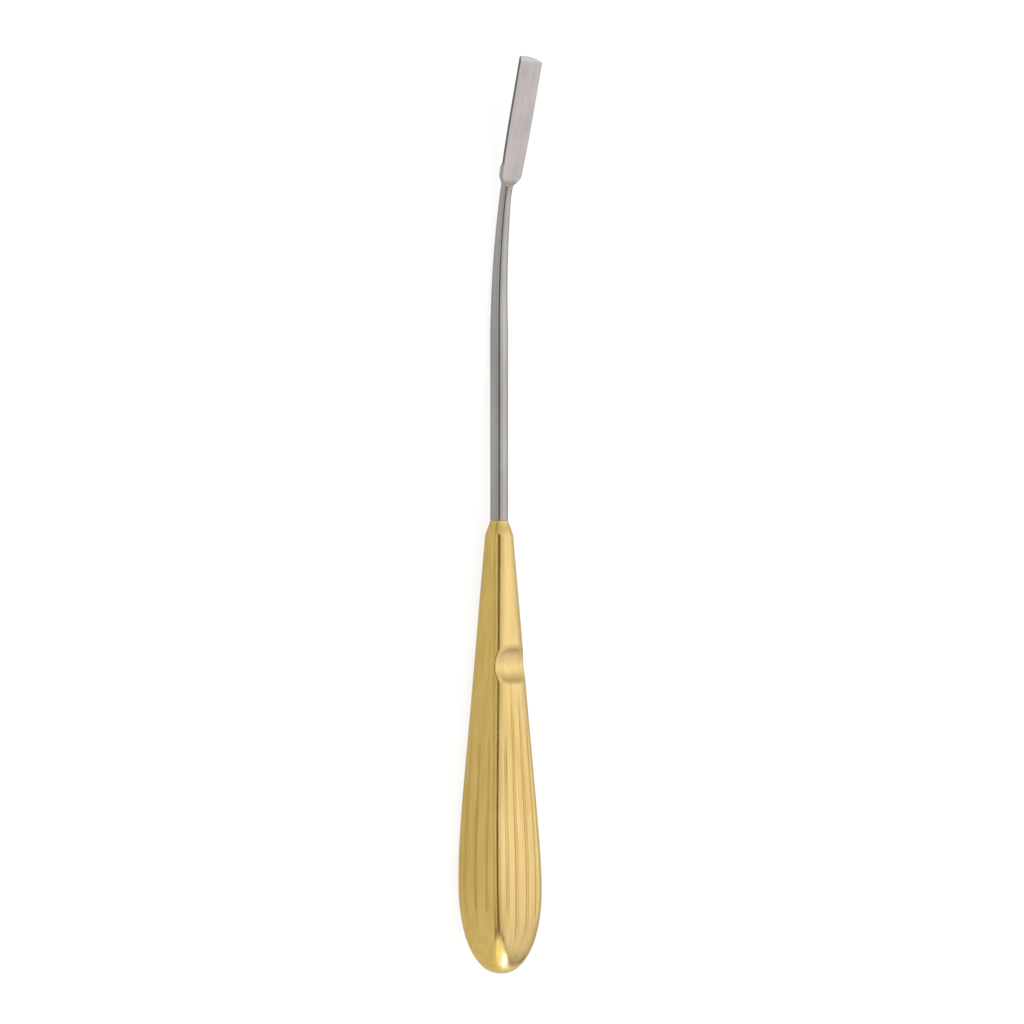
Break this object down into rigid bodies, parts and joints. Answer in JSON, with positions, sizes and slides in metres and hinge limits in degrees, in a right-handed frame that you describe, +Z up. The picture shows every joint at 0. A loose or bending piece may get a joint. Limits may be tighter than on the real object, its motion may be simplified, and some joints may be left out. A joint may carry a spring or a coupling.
{
  "type": "frontotemporal dissector",
  "caption": "Frontotemporal dissector: grooved gold-plated handle with a thumb notch, and a slender steel shank bent forward into a narrow flat blade with a bevelled end.",
  "frame": {"origin": "centre of the base of the bounding box, on the surface the instrument lies on", "axes": "+Y along the instrument from the butt of the handle to the blade, +Z up, out of the handle's front face with the thumb notch"},
  "size_m": [0.0184, 0.2398, 0.0176],
  "materials": {
    "gold_plate": "polished gold plating, softly reflecting",
    "satin_steel": "satin surgical steel, fine grain along the shank"
  },
  "bodies": {
    "root": {"handle": "gold_plate", "blade_shank": "satin_steel"}
  },
  "joints": []
}
